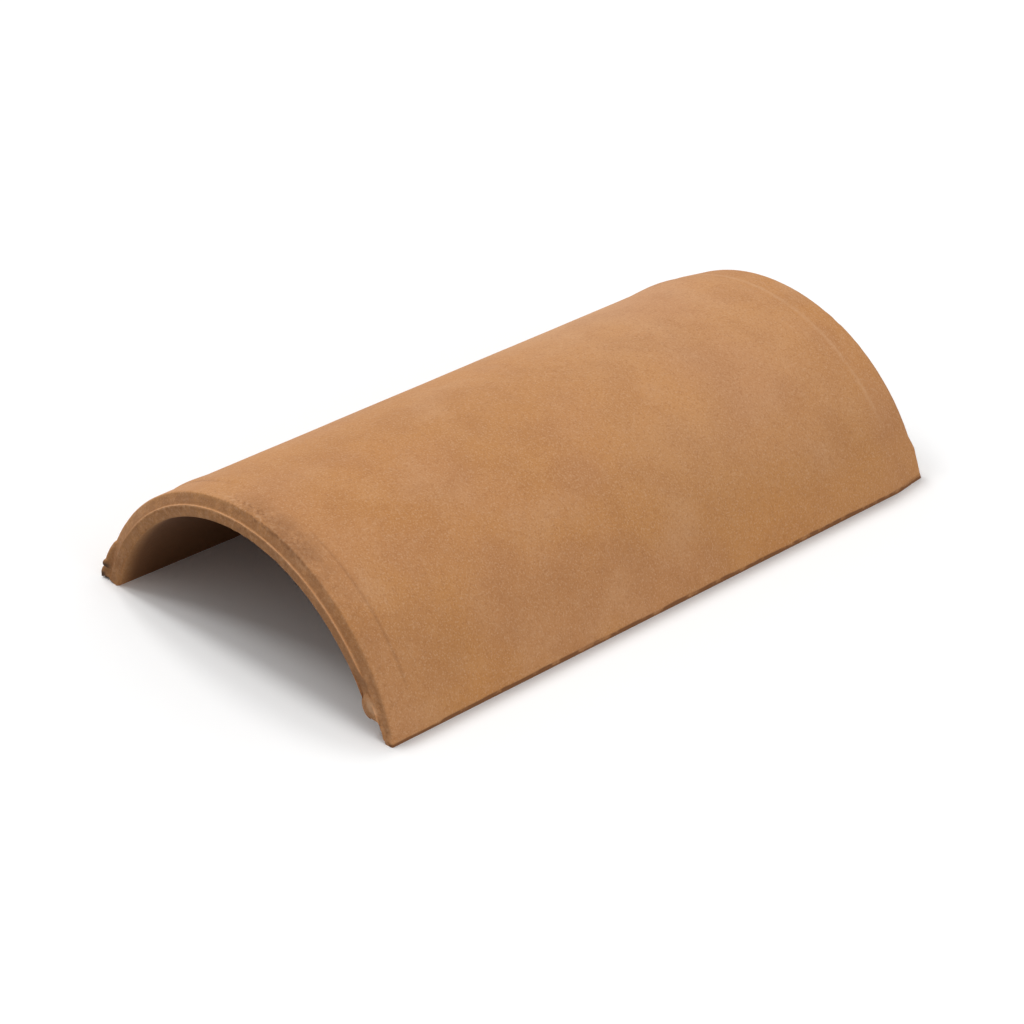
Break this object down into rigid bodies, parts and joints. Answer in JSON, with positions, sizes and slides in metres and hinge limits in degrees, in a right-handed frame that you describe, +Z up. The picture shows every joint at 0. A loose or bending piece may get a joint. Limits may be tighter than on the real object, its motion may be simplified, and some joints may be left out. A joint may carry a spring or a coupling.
{
  "type": "round ridge tile",
  "caption": "Round clay tile that covers the ridge of a pitched roof: a shallow arch of fired terracotta with stepped ends, a band at each end and flat feet.",
  "frame": {"origin": "Middle of the tile's footprint, on the floor it rests on.", "axes": "X runs across the arch, Y along the tile with the front end at -Y, and Z is up towards the crest."},
  "size_m": [0.2594, 0.45, 0.0995],
  "materials": {
    "fired_clay": "matt"
  },
  "bodies": {
    "root": {"ridge_tile": "fired_clay"}
  },
  "joints": []
}
